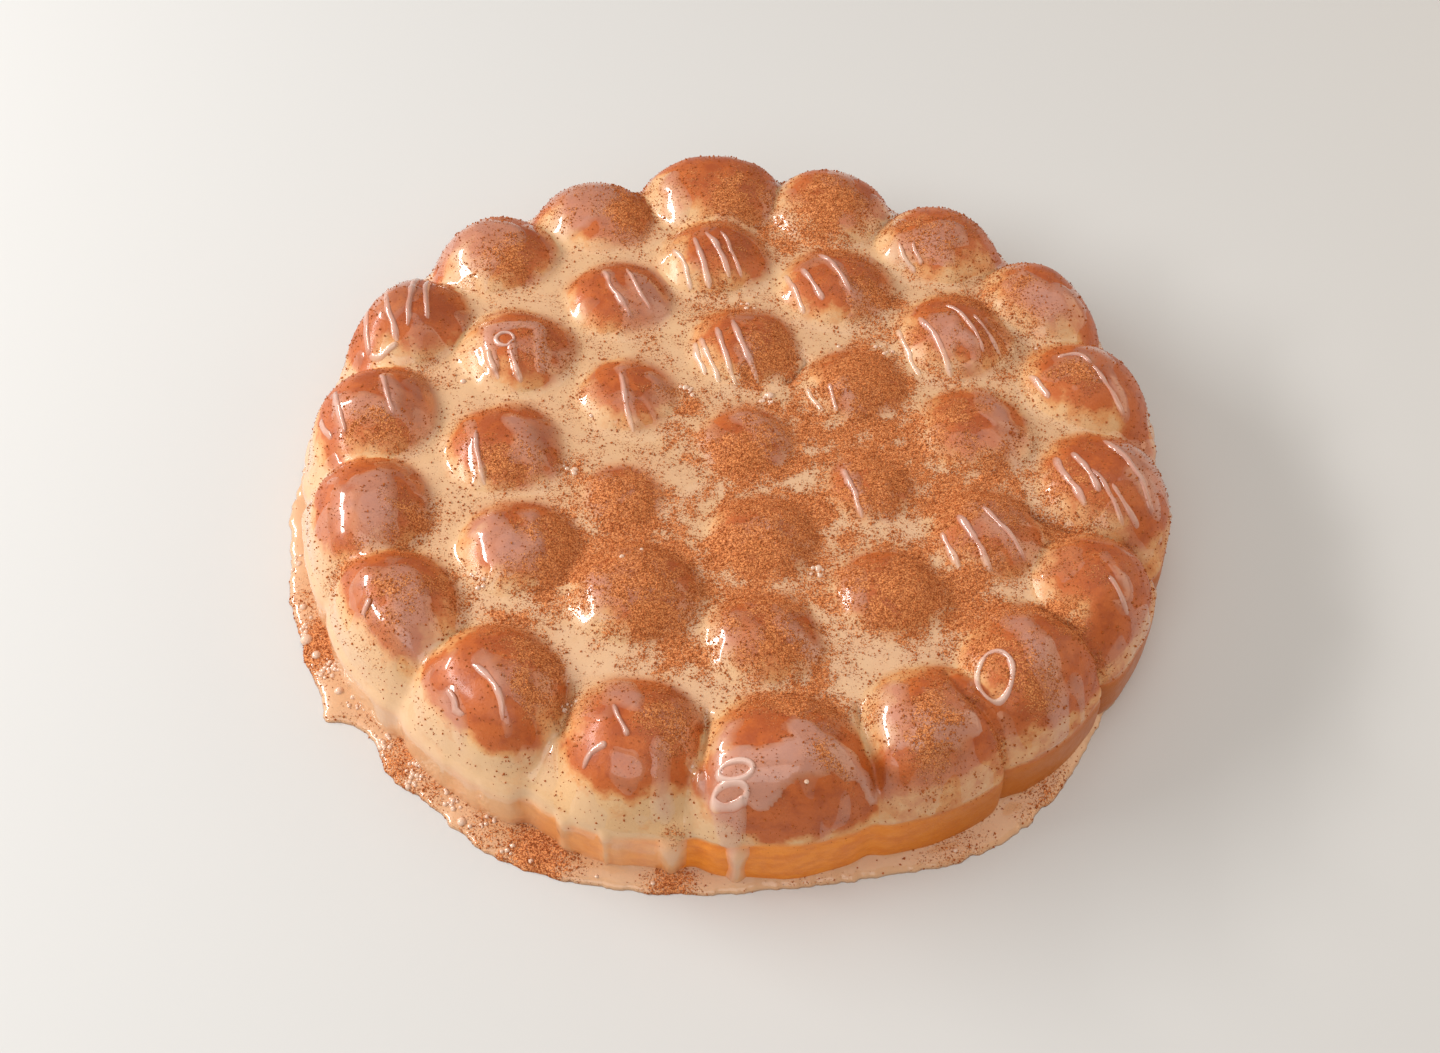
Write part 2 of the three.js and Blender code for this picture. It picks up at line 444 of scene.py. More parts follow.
def veilEdges(x, y):
    size, swing = glaze["wander"]
    wobble = swing * softNoise(x, y, size, 31) + 0.4 * softNoise(x, y, size / 2.5, 32)
    return strokeEdge(x, y, veils) + wobble, strokeEdge(x, y, sharpVeils) + 0.5 * wobble


def veilShares(x, y):
    # how much of a soft veil and of a sharp one lies over a place, and the distance to the soft edge
    edge, sharpEdge = veilEdges(x, y)
    return smoothStep(*glaze["veilEdge"], edge), smoothStep(*glaze["sharpEdge"], sharpEdge), edge


def veilFilm(x, y):
    soft, sharp, edge = veilShares(x, y)
    smear = softNoise(x, y, 9.0, 35) + 0.4 * softNoise(x, y, 4.0, 36)
    base = glaze["bare"] + (glaze["smear"] - glaze["bare"]) * smoothStep(*glaze["smearFrom"], smear)
    film = base + (glaze["veil"] - base) * soft
    bead, inside = glaze["bead"]
    film = film + bead * np.exp(-((edge + inside) ** 2))
    return film * (1 - sharp) + glaze["sharpVeil"] * sharp


degreeSpan = 2.4  # millimetres of the loaf's side in one degree


def sideFilm(angle, z):
    degrees = np.degrees(angle)
    film = byAzimuth(angle, sideWet) + 0.25 * softNoise(degrees * degreeSpan, z * 0.4, 5.0, 42)
    tipHeight, tipSharpness = glaze["runTip"]
    for azimuth, width, low, wobble in sideRuns:
        away = np.abs((degrees - azimuth + 180) % 360 - 180) * math.pi / 180 * loaf["radius"]
        sway = wobble * softNoise(z + azimuth, degrees * 0.3, 6.0, 41)
        narrow = width * (0.75 + 0.25 * smoothStep(8, loaf["sideHeight"], z)) + sway
        tip = np.maximum(low + tipHeight - z, 0) if low else 0
        edge = np.hypot(away, tip * tipSharpness) - narrow
        film = np.maximum(film, -1.0 + (1 + glaze["cover"]) * smoothStep(*glaze["runEdge"], edge))
    return film


def filmAt(x, y, z, angle):
    film = veilFilm(x, y)
    share = byAzimuth(angle, sheetShares)
    flank = smoothStep(*glaze["flank"], np.hypot(x, y)) * smoothStep(*glaze["flankLevels"], z)
    sheet = glaze["bare"] + (glaze["sheet"] - glaze["bare"]) * share
    sheet = sheet + 0.25 * softNoise(x, y, 7.0, 33)
    film = film * (1 - flank) + np.maximum(film, sheet) * flank
    onSide = smoothStep(*glaze["coverLevels"], z)
    film = film * (1 - onSide) + sideFilm(angle, z) * onSide
    return film + 0.05 * softNoise(x, y, 3.0, 34)


def glazeGap(x, y, z, side, near, lumps, film, softness):
    size, height = glaze["ripple"]
    ripple = height * softNoise(x, y, size, 21) - glaze["dip"] * creaseShare(x, y)
    pool = bodyGap(x, y, z, side - glaze["rimPull"], glaze["rise"], glaze["shoulder"]) - ripple
    crust = crustGap(x, y, z, side, near) - lumps - film
    return -softness * np.log(np.exp(-pool / softness) + np.exp(-crust / softness))


def softnessAt(x, y):
    inside, rim = glaze["softness"]
    return inside + (rim - inside) * smoothStep(*glaze["rimFrom"], np.hypot(x, y))


def glazeReachOf(origin, heading, crust, side, near, lumps, angle):
    x, y, z = (origin + heading * crust[:, None]).T
    film, softness = filmAt(x, y, z, angle), softnessAt(x, y)
    gap = lambda *p: glazeGap(*p, side, near, lumps, film, softness)
    return reachOf(gap, origin, heading, crust + glaze["search"][0], crust + glaze["search"][1])


glazeReach = glazeReachOf(rayOrigin, rayHeading, crustReach, raySide, rayNear, rayLumps, rayAngle)
glazePoints = rayPoints(glazeReach)
print("glaze worked out")


def pointNormals(points, faces):
    corners = points[faces]
    normal = np.cross(corners[:, 1] - corners[:, 0], corners[:, 2] - corners[:, 0])
    total = np.zeros_like(points)
    for corner in range(3):
        np.add.at(total, faces[:, corner], normal)
    return total / np.maximum(np.linalg.norm(total, axis=1), 1e-9)[:, None]


crustNormals = pointNormals(crustPoints, topFaces)
glazeDepth = (glazeReach - crustReach) * np.abs((rayHeading * crustNormals).sum(1))
shownPoints = rayPoints(np.maximum(glazeReach, crustReach))
shownNormals = pointNormals(shownPoints, topFaces)

# How brown the crust is, with painted light and shade on the domes' sides
bake = {
    "core": 0.30,  # share of a dome that is fully brown
    "edge": 0.95,  # share where it is pale
    "shadeShift": (1.0, 1.0),  # the browned caps lie a little to the back right, away from the key light: partly browning, partly painted shade
    "litLean": (0.1, 0.3),  # and reach less far down at the front left, the lit side: partly paler dough, partly painted light; right and left in the loaf
    "litLeanFrom": (80, -20),
    "litLeanAim": (0.75, 0.5),
    "uneven": 0.09,
    "each": 0.07,  # how much one bun is browner or paler than the next
    "bandEdge": (1.0, -1.0),  # heights about the top edge over which the golden side begins
    "rimSoftness": 5.5,  # over how much height the outer flanks turn from pale to brown
    "flank": (118, 127),  # radii over which the domes turn into flanks
}

# Height at which the outer flanks turn from pale to brown: azimuth, height
rimHeights = [
    (-180, 30), (-160, 32), (-146, 36), (-134, 33), (-122, 30), (-112, 31), (-100, 31), (-94, 30),
    (-90, 28), (-86, 21), (-73, 21), (-68, 26), (-58, 30), (-50, 28), (-42, 22.5), (-30, 22.5), (-25, 26),
    (-18, 25), (-10, 27), (-4, 22.5), (10, 22.5), (18, 25), (30, 23), (60, 23), (100, 24), (130, 25),
    (155, 28), (180, 30),
]

# How golden the pale lower flanks are: azimuth, share
rimGold = [(-180, 0), (-84, 0), (-68, 0.3), (-50, 0.38), (30, 0.32), (90, 0.16), (180, 0)]

# Painted shade on the golden side, darker where it turns away from the key light: azimuth, share
paintedSideShades = [(-180, 0.2), (-100, 0), (-72, 0.15), (-58, 0.7), (-30, 1), (20, 0.8), (90, 0.3), (180, 0.2)]

# Height of the top edge of the golden side: azimuth, height
bandTops = [
    (-180, 17.5), (-112, 17), (-100, 18), (-92, 19.5), (-84, 21.2), (-74, 20.6), (-62, 19.2), (-48, 18.2),
    (0, 18.2), (180, 17.5),
]

# Cinnamon: x, y, half-width, half-depth, amount
cinnamonPatches = [
    (9, 34, 8, 12, 1), (37, 22, 13, 14, 0.9), (38, -3, 20, 12, 0.9), (46, -13, 7, 12, 1),
    (58, -22, 14, 9, 0.7), (56, -50, 10, 12, 0.9), (66, -62, 12, 9, 0.9), (50, -66, 9, 12, 1),
    (78, -66, 14, 6, 0.9), (95, -68, 8, 7, 0.8), (-34, -31, 9, 9, 1), (3, -11, 12, 9, 0.95),
    (-52, -50, 8, 18, 1), (-28, -50, 22, 9, 0.85), (-26, -70, 12, 12, 0.95), (-14, -88, 14, 7, 0.7),
    (13, -84, 11, 9, 0.9), (24, -92, 6, 4, 0.9), (-19, -111, 7, 9, 1), (-54, -97, 7, 13, 0.95),
    (55, -108, 8, 13, 0.95), (8, -50, 10, 9, 0.8), (20, -102, 20, 8, 0.7), (27, 103, 13, 12, 0.8),
    (-4, 106, 12, 10, 0.8), (99, -71, 4, 3, 0.9), (106, -76, 4, 3, 0.8), (67, -101, 4, 3, 0.7),
    (75, -105, 4, 3, 0.7), (93, -30, 6, 3, 0.8), (104, -34, 6, 2.4, 0.9), (116, -37, 6, 2.2, 0.7),
    (-41, 103, 7, 14, 0.8), (-79, 70, 10, 9, 0.6), (44, 30, 7, 20, 0.7), (44, 62, 10, 8, 0.7),
    (74, 62, 9, 7, 0.5), (66, 8, 9, 9, 0.5), (80, -14, 12, 5, 0.6), (-98, -41, 8, 10, 0.85),
    (-99, -75, 8, 10, 0.6), (-85, -62, 7, 9, 0.6), (-114, -8, 9, 5, 0.7), (-70, -19, 9, 7, 0.75),
    (107, 27, 8, 8, 0.5), (102, -20, 9, 8, 0.35), (25, -121, 5, 4, 0.6), (30, -125, 4, 3, 0.5),
    (85, -92, 8, 8, 0.55), (-66, 30, 6, 8, 0.3), (-35, 40, 10, 8, 0.35), (-8, 52, 12, 6, 0.45),
    (18, 12, 9, 9, 0.7), (22, -30, 10, 8, 0.6), (4, -64, 14, 7, 0.65), (-48, -20, 9, 9, 0.4),
    (-20, 10, 9, 7, 0.35), (84, 40, 8, 8, 0.3), (60, 84, 9, 6, 0.35), (-100, 20, 8, 7, 0.3),
    (-116, -54, 8, 5, 0.6), (35, -40, 8, 6, 0.5), (-64, -75, 9, 6, 0.45), (100, -36, 7, 6, 0.4),
    (70, -84, 8, 6, 0.45), (-6, 60, 16, 5, 0.35), (8, 90, 9, 6, 0.55), (90, 66, 5, 6, 0.4),
    (-14, -136, 4, 3, 0.8), (-24, 110, 6, 8, 0.25),
]

# Thin haze of the same: x, y, half-width, half-depth, amount
cinnamonHaze = [
    (28, -24, 84, 74, 0.62), (-40, -66, 54, 38, 0.44), (30, 92, 62, 22, 0.46), (66, 40, 40, 48, 0.44),
    (-60, 90, 40, 26, 0.28), (0, 0, 150, 150, 0.24), (81, 67, 14, 10, 0.55), (60, 58, 14, 10, 0.4),
    (-42, -104, 9, 9, 0.5),
]

cinnamon = {
    "wobble": (2.2, 9.0),  # reach and size of the wobble in its patches
    "hazePower": 1.6,  # the higher, the flatter a patch is inside and the clearer its edge
    "patchPower": 1.3,
    "levels": (14, 24),  # heights over which the dust on the loaf begins
}


def patchDust(x, y, patch, power):
    middleX, middleY, halfX, halfY, amount = patch
    away = ((x - middleX) / halfX) ** 2 + ((y - middleY) / halfY) ** 2
    return amount * np.exp(-(away**power))


def dustAt(x, y):
    swing, size = cinnamon["wobble"]
    x = x + swing * softNoise(x, y, size, 51)
    y = y + swing * softNoise(x, y, size, 52)
    total = np.max([patchDust(x, y, patch, cinnamon["hazePower"]) for patch in cinnamonHaze], 0)
    total = total * (1 + 0.5 * softNoise(x, y, 12.0, 54) + 0.3 * softNoise(x, y, 4.0, 55))
    total = np.maximum(total, 0)
    for patch in cinnamonPatches:
        total = total + patchDust(x, y, patch, cinnamon["patchPower"])
    total = total * (0.74 + 0.42 * softNoise(x, y, 5.0, 53) + 0.28 * softNoise(x, y, 2.2, 56))
    return np.clip(total, 0, 1)


def bakeAndPaintedLightAt(points, near):
    x, y, z = points.T
    gaps = domeGaps(x, y, z, near)
    best = np.take_along_axis(near, gaps.argmin(0)[None], 0)
    # caps moved off the light and shortened on the lit side: painted light and shade over the browning
    along, across, _, _ = domeShares(x - bake["shadeShift"][0], y - bake["shadeShift"][1], best)
    power = loaf["domeFullness"]
    share = (along**power + across**power)[0] ** (1 / power)
    fromX, fromY = x - buns[best[0], 0], y - buns[best[0], 1]
    aside = fromX * bake["litLeanAim"][0] + fromY * bake["litLeanAim"][1]
    leastLean, mostLean = bake["litLean"]
    litLean = leastLean + (mostLean - leastLean) * smoothStep(*bake["litLeanFrom"], buns[best[0], 0])
    share = share * (1 - litLean * aside / np.maximum(np.hypot(fromX, fromY), 4))
    own = np.random.default_rng(61).uniform(-bake["each"], bake["each"], len(buns))[best[0]]
    share = share + own + bake["uneven"] * softNoise(x, y, 8.0, 62) + 0.04 * softNoise(x, y, 3.0, 63)
    brown = smoothStep(bake["edge"], bake["core"], share)
    outer = smoothStep(*bake["flank"], np.hypot(x, y))
    azimuth = np.arctan2(y, x)
    level = z - byAzimuth(azimuth, rimHeights)
    rim = smoothStep(-bake["rimSoftness"], bake["rimSoftness"], level + 2.5 * softNoise(x, y, 9.0, 64))
    flank = np.maximum(np.maximum(brown, rim * 0.85) * rim, byAzimuth(azimuth, rimGold))
    return brown * (1 - outer) + flank * outer


crustBakeAndPaintedLight = bakeAndPaintedLightAt(crustPoints, rayNear)
crustBand = smoothStep(*bake["bandEdge"], crustPoints[:, 2] - byAzimuth(rayAngle, bandTops))
# on the golden side this value is painted shade, darker away from the key light, not browning
crustBakeAndPaintedLight = crustBakeAndPaintedLight * (1 - crustBand) + byAzimuth(rayAngle, paintedSideShades) * crustBand
shownDust = dustAt(*shownPoints[:, :2].T) * smoothStep(*cinnamon["levels"], shownPoints[:, 2])

# Shaders: what the materials share is in node groups


def feed(tree, socket, value):
    # a value is a constant or another node's output
    if isinstance(value, bpy.types.NodeSocket):
        tree.links.new(value, socket)
    else:
        socket.default_value = value


def place(tree, kind, inputs=None, **options):
    node = tree.nodes.new(kind)
    for key, value in options.items():
        setattr(node, key, value)
    for name, value in (inputs or {}).items():
        feed(tree, node.inputs[name], value)
    return node


def newGroup(name, inputs, outputs):
    tree = bpy.data.node_groups.new(name, "ShaderNodeTree")
    for label, kind, value in inputs:
        socket = tree.interface.new_socket(label, in_out="INPUT", socket_type=kind)
        socket.default_value = value
    for label, kind in outputs:
        tree.interface.new_socket(label, in_out="OUTPUT", socket_type=kind)
    return tree, tree.nodes.new("NodeGroupInput").outputs, tree.nodes.new("NodeGroupOutput").inputs


number, colour = "NodeSocketFloat", "NodeSocketColor"


def useGroup(tree, group, inputs):
    return place(tree, "ShaderNodeGroup", inputs, node_tree=group).outputs


def mixColours(tree, share, first, second):
    inputs = {0: share, 6: first, 7: second}
    return place(tree, "ShaderNodeMix", inputs, data_type="RGBA").outputs[2]


def ramp(tree, value, low, high, first=0.0, last=1.0):
    inputs = {"Value": value, "From Min": low, "From Max": high, "To Min": first, "To Max": last}
    return place(tree, "ShaderNodeMapRange", inputs, interpolation_type="SMOOTHSTEP").outputs["Result"]


def calculate(tree, operation, first, second=0.0):
    return place(tree, "ShaderNodeMath", {0: first, 1: second}, operation=operation).outputs[0]


def plus(tree, first, second):
    return calculate(tree, "ADD", first, second)


def minus(tree, first, second):
    return calculate(tree, "SUBTRACT", first, second)


def times(tree, first, second):
    return calculate(tree, "MULTIPLY", first, second)


def larger(tree, first, second):
    return calculate(tree, "MAXIMUM", first, second)


def attribute(tree, name):
    return place(tree, "ShaderNodeAttribute", attribute_name=name).outputs["Fac"]


def speckle(tree, size, detail=2.0, stretch=None):
    # noise whose lumps are about size millimetres wide
    where = place(tree, "ShaderNodeTexCoord").outputs["Object"]
    if stretch:
        where = place(tree, "ShaderNodeMapping", {"Vector": where, "Scale": stretch}).outputs[0]
    inputs = {"Vector": where, "Scale": 1 / (size * mm), "Detail": detail, "Roughness": 0.55}
    return place(tree, "ShaderNodeTexNoise", inputs).outputs["Fac"]


crustLook = {
    "pale": (0.72, 0.43, 0.20, 1),
    "golden": (0.68, 0.30, 0.10, 1),
    "amber": (0.50, 0.104, 0.012, 1),
    "brown": (0.37, 0.064, 0.007, 1),
    "bandLight": (0.92, 0.29, 0.02, 1),
    "bandDark": (0.78, 0.20, 0.01, 1),
    # painted shade of the golden side where it turns from the light
    "paintedSideShade": (0.44, 0.11, 0.006, 1),
    "roughness": (0.42, 0.56),
    "roughSize": 3.0,
    "bump": 0.00012,
    "dustBump": 2.0,  # how much higher cinnamon stands than the dough's own bumps
    "specular": 0.4,
    "coat": 0.2,
    "coatRoughness": 0.15,
}
milkLook = {
    "thin": (0.59, 0.35, 0.265, 1),
    "thick": (0.70, 0.425, 0.22, 1),
    # lighter tone of drizzled lines, loops and bubbles: partly thicker glaze, partly painted highlight
    "drizzle": (0.90, 0.74, 0.64, 1),
    "poolThin": (0.62, 0.30, 0.13, 1),
    "poolThick": (0.68, 0.38, 0.19, 1),
    "clearDepth": 0.001,
    "veilDepths": (0.0006, 0.0026),  # over these depths a veil's pinkish tone turns cream
    "roughness": (0.36, 0.5),
    "roughSize": 4.0,
    "specular": 0.55,
    "coat": 1.0,
    "coatRoughness": 0.07,
    "bump": 0.00009,
    "dustBump": 3.0,
}
cinnamonLook = {
    "light": (0.80, 0.30, 0.095, 1),
    "dark": (0.36, 0.088, 0.018, 1),
    "lone": 0.15,  # how much of the light tone a grain has where few others lie
    "haze": 0.6,  # cover by powder too fine to see as grains
    "fine": (0.55, 0.65),  # size and share of the fine specks
    "clump": (2.2, 0.35),
    "need": (0.66, 0.34),  # level of noise above which powder shows, and how far Amount lowers it
    "specular": 0.2,
    "roughness": 0.9,
}


def crustTones():
    # browned dough: pale to brown by Bake, and the golden side by Band; there Bake darkens it towards a
    # painted shade
    sockets = [("Bake", number, 0.5), ("Band", number, 0.0)]
    sockets += [(name, colour, crustLook[name]) for name in ("pale", "golden", "amber", "brown")]
    tree, given, made = newGroup("crustTones", sockets, [("Color", colour), ("Height", number)])
    blotch = speckle(tree, 5.0, 3.0)
    fine = speckle(tree, 0.9, 2.0)
    level = plus(tree, given["Bake"], ramp(tree, blotch, 0.25, 0.75, -0.2, 0.2))
    level = plus(tree, level, ramp(tree, fine, 0.3, 0.7, -0.04, 0.04))
    tone = mixColours(tree, ramp(tree, level, 0.0, 0.35), given["pale"], given["golden"])
    tone = mixColours(tree, ramp(tree, level, 0.25, 0.7), tone, given["amber"])
    tone = mixColours(tree, ramp(tree, level, 0.72, 1.1), tone, given["brown"])
    streak = speckle(tree, 5.0, 3.0, (1, 1, 2.0))
    side = mixColours(tree, ramp(tree, streak, 0.3, 0.75), crustLook["bandLight"], crustLook["bandDark"])
    # painted shade on the golden side
    side = mixColours(tree, given["Bake"], side, crustLook["paintedSideShade"])
    feed(tree, made["Color"], mixColours(tree, given["Band"], tone, side))
    feed(tree, made["Height"], plus(tree, fine, blotch))
    return tree


def milkTones():
    # glaze: see-through where Depth is small, pinkish where it is a Veil, lighter where Veil is
    # more than one, partly thicker glaze and partly a painted highlight, and cream where it is deep
    sockets = [("Depth", number, 0.001), ("Veil", number, 0.0), ("thin", colour, milkLook["thin"])]
    sockets += [("thick", colour, milkLook["thick"]), ("Clear", number, milkLook["clearDepth"])]
    tree, given, made = newGroup("milkTones", sockets, [("Color", colour), ("Opacity", number)])
    faded = calculate(tree, "DIVIDE", given["Depth"], given["Clear"])
    faded = calculate(tree, "EXPONENT", times(tree, faded, -1.0))
    feed(tree, made["Opacity"], minus(tree, 1.0, faded))
    shallow = ramp(tree, given["Depth"], *milkLook["veilDepths"], 1.0, 0.0)
    veiled = times(tree, shallow, given["Veil"])
    cloud = ramp(tree, speckle(tree, 7.0, 2.0), 0.3, 0.7, 0.0, 0.12)
    tone = mixColours(tree, larger(tree, veiled, cloud), given["thick"], given["thin"])
    # painted highlight on drizzled lines, loops and bubbles, partly thicker glaze
    tone = mixColours(tree, minus(tree, given["Veil"], 1.0), tone, milkLook["drizzle"])
    feed(tree, made["Color"], tone)
    return tree


def cinnamonDust():
    # ground cinnamon lying on a surface: more of it where Amount is higher
    sockets = [("Amount", number, 0.0), ("light", colour, cinnamonLook["light"])]
    sockets += [("dark", colour, cinnamonLook["dark"])]
    outputs = [("Color", colour), ("Mask", number), ("Height", number)]
    tree, given, made = newGroup("cinnamonDust", sockets, outputs)
    (fineSize, fineShare), (clumpSize, clumpShare) = cinnamonLook["fine"], cinnamonLook["clump"]
    fine, clump = speckle(tree, fineSize), speckle(tree, clumpSize)
    both = plus(tree, times(tree, fine, fineShare), times(tree, clump, clumpShare))
    highest, lowered = cinnamonLook["need"]
    need = minus(tree, highest, times(tree, given["Amount"], lowered))
    mask = ramp(tree, minus(tree, both, need), -0.02, 0.07)
    mask = times(tree, mask, ramp(tree, given["Amount"], 0.0, 0.25))
    mask = larger(tree, mask, times(tree, given["Amount"], cinnamonLook["haze"]))
    shade = ramp(tree, speckle(tree, 0.45, 1.0), 0.35, 0.65)
    feed(tree, made["Color"], mixColours(tree, shade, given["dark"], given["light"]))
    feed(tree, made["Mask"], mask)
    feed(tree, made["Height"], times(tree, fine, mask))
    return tree


crustTonesGroup, milkTonesGroup, cinnamonDustGroup = crustTones(), milkTones(), cinnamonDust()


def newMaterial(name):
    material = bpy.data.materials.new(name)
    material.use_nodes = True
    tree = material.node_tree
    return material, tree, tree.nodes["Principled BSDF"].inputs


def doughTones(tree):
    seen = {"Bake": attribute(tree, "bake"), "Band": attribute(tree, "band")}
    return useGroup(tree, crustTonesGroup, seen)


def dressSurface(tree, shader, look, tone, height):
    # cinnamon over a surface's own tone; the surface shines where none lies
    dust = useGroup(tree, cinnamonDustGroup, {"Amount": attribute(tree, "dust")})
    rough = ramp(tree, speckle(tree, look["roughSize"]), 0.3, 0.7, *look["roughness"])
    height = plus(tree, height, times(tree, dust["Height"], look["dustBump"]))
    bump = {"Height": height, "Distance": look["bump"], "Strength": 1.0}
    settings = {
        "Base Color": mixColours(tree, dust["Mask"], tone, dust["Color"]),
        "Roughness": larger(tree, rough, times(tree, dust["Mask"], cinnamonLook["roughness"])),
        "Specular IOR Level": look["specular"],
        "Coat Weight": times(tree, minus(tree, 1.0, dust["Mask"]), look["coat"]),
        "Coat Roughness": look["coatRoughness"],
        "Normal": place(tree, "ShaderNodeBump", bump).outputs["Normal"],
    }
    for name, value in settings.items():
        feed(tree, shader[name], value)


def crustMaterial():
    material, tree, shader = newMaterial("bakedCrust")
    dough = doughTones(tree)
    dressSurface(tree, shader, crustLook, dough["Color"], dough["Height"])
    return material


def glazeMaterial(name, overCrust, tones):
    material, tree, shader = newMaterial(name)
    film = {"Depth": attribute(tree, "depth"), "Veil": attribute(tree, "veil")}
    milk = useGroup(tree, milkTonesGroup, {**film, **tones})
    tone = milk["Color"]
    if overCrust:
        tone = mixColours(tree, milk["Opacity"], doughTones(tree)["Color"], tone)
    ripples = plus(tree, speckle(tree, 3.0), times(tree, speckle(tree, 0.9), 0.35))
    dressSurface(tree, shader, milkLook, tone, ripples)
    return material


def cinnamonMaterial():
    material, tree, shader = newMaterial("groundCinnamon")
    tone = mixColours(tree, attribute(tree, "tone"), cinnamonLook["dark"], cinnamonLook["light"])
    fleck = ramp(tree, speckle(tree, 0.25), 0.35, 0.65, 0.0, 0.4)
    feed(tree, shader["Base Color"], mixColours(tree, fleck, tone, cinnamonLook["dark"]))
    feed(tree, shader["Roughness"], cinnamonLook["roughness"])
    feed(tree, shader["Specular IOR Level"], cinnamonLook["specular"])
    return material


poolTones = {"thin": milkLook["poolThin"], "thick": milkLook["poolThick"]}
crustSurface, cinnamonSurface = crustMaterial(), cinnamonMaterial()
glazeSurface = glazeMaterial("milkGlazeOverCrust", True, {})
poolSurface = glazeMaterial("milkGlazeDeep", False, poolTones)
print("materials made")


def addObject(name, data):
    item = bpy.data.objects.new(name, data)
    bpy.context.scene.collection.objects.link(item)
    return item


def buildPiece(name, points, faces, material, attributes, corners):
    mesh = bpy.data.meshes.new(name)
    mesh.vertices.add(len(points))
    onGround = np.maximum(points, (-np.inf, -np.inf, 0))
    mesh.vertices.foreach_set("co", (onGround * mm).astype(np.float32).ravel())
    mesh.loops.add(faces.size)
    mesh.loops.foreach_set("vertex_index", faces.astype(np.int32).ravel())
    mesh.polygons.add(len(faces))
    mesh.polygons.foreach_set("loop_start", np.arange(0, faces.size, faces.shape[1], dtype=np.int32))
    mesh.update(calc_edges=True)
    mesh.validate()
    mesh.shade_smooth()
    for label, values in attributes.items():
        layer = mesh.attributes.new(label, "FLOAT", "POINT")
        layer.data.foreach_set("value", values.astype(np.float32))
    bakeMap = mesh.uv_layers.new(name="OFBake")
    bakeMap.uv.foreach_set("vector", corners.astype(np.float32).ravel())
    mesh.materials.append(material)
    piece = addObject(name, mesh)
    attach(piece, "root")
    print(name, len(faces), "faces")
    return piece


def keepUsed(points, faces, attributes, corners):
    used = np.unique(faces)
    moved = np.full(len(points), -1)
    moved[used] = np.arange(len(used))
    return points[used], moved[faces], {k: v[used] for k, v in attributes.items()}, corners


mapMargin = 2.02  # a bake map is this many times as wide as its farthest point lies out
mapSpan = rayUnrolled.max() * mapMargin
underDisc = {"radius": 0.07, "middle": 0.075}  # the underside, in a corner of that map
underMiddle = 0.3  # every measure of the crust at the middle of the underside


def unrolledMap(faces):
    return (0.5 + polar(rayUnrolled / mapSpan, rayAngle))[faces]


def topValues():
    # bake holds the browning together with painted light and shade
    return {"bake": crustBakeAndPaintedLight, "band": crustBand, "dust": shownDust}


def makeCrust():
    points = np.concatenate([crustPoints, [[0, 0, 0]]])
    points[footRow, 2] = 0
    under = np.stack([np.full(len(footRow), len(crustPoints)), np.roll(footRow, -1), footRow], 1)
    disc = polar(underDisc["radius"], rayAngle[footRow]) + underDisc["middle"]
    underMap = np.stack([np.full_like(disc, underDisc["middle"]), np.roll(disc, -1, 0), disc], 1)
    values = {name: np.append(value, underMiddle) for name, value in topValues().items()}
    faces = np.concatenate([topFaces, under])
    corners = np.concatenate([unrolledMap(topFaces), underMap])
    piece = buildPiece("loafCrust", points, faces, crustSurface, values, corners)
    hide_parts("bun_loaf")


def makeGlaze():
    faces = topFaces[glazeDepth[topFaces].max(1) > glaze["leastDepth"]]
    values = topValues()
    values["depth"] = np.maximum(glazeDepth, 0) * mm
    values["veil"] = np.maximum(*veilShares(*crustPoints[:, :2].T)[:2])
    points, faces, values, corners = keepUsed(glazePoints, faces, values, unrolledMap(faces))
    buildPiece("milkGlaze", points, faces, glazeSurface, values, corners)


makeCrust()
makeGlaze()

puddle = {
    "inner": 129.0,  # under the turned foot of the loaf
    "depth": 2.3,
    "deepFrom": (133.5, 140.5),  # it is shallow where its edge is at the first radius, deep at the second
    "shallow": 0.3,
    "meniscus": (1.3, 1.6),  # how high it climbs the side, and how far from the side it does so
    "wallInset": 1.2,  # how far inside the side that climb begins
    "roundness": 5.0,
    "dustFrom": (133, 137),  # radii over which the cinnamon on it begins
    "around": 1200,
    "across": 26,
    "crowding": 0.6,  # its rings lie closer together near the outer edge
}

# Outer edge of the glaze round the foot: azimuth, radius
puddleEdge = [
    (-180, 144.6), (-175, 145.2), (-169, 144.2), (-162, 146), (-156, 146.3), (-148, 147), (-143.6, 149.6),
    (-141.5, 143.5), (-138, 142), (-133.5, 146), (-127, 144.6), (-118, 147.6), (-113, 148),
    (-108.6, 146.2), (-99.5, 143.8), (-92.7, 141.8), (-86, 140.4), (-81, 139.6), (-74, 140.2),
    (-67, 142.8), (-62, 144.4), (-57, 145.2), (-50.5, 143.6), (-46, 142.4), (-42, 139.5), (-36, 136.5),
    (-20, 135.8), (5, 136), (20, 137.5), (33, 140.5), (43, 143), (55, 141.5), (66, 139.2), (80, 141),
    (96, 144), (106, 143.5), (118, 139.8), (130, 142.5), (143, 140.2), (156, 144.2), (168, 142.5),
    (180, 144.6),
]

# Cinnamon that fell on that glaze: azimuth, half-width in degrees, amount
puddleDust = [
    (-161, 4, 0.4), (-154, 5, 1), (-141, 3, 0.3), (-133, 4, 0.7), (-128, 4, 0.5), (-112, 5, 1),
    (-119, 4, 0.5), (-96, 3, 0.9), (-80, 6, 0.2), (-62, 5, 0.4), (-48, 5, 0.5), (150, 6, 0.5),
    (100, 5, 0.6), (50, 6, 0.4),
]


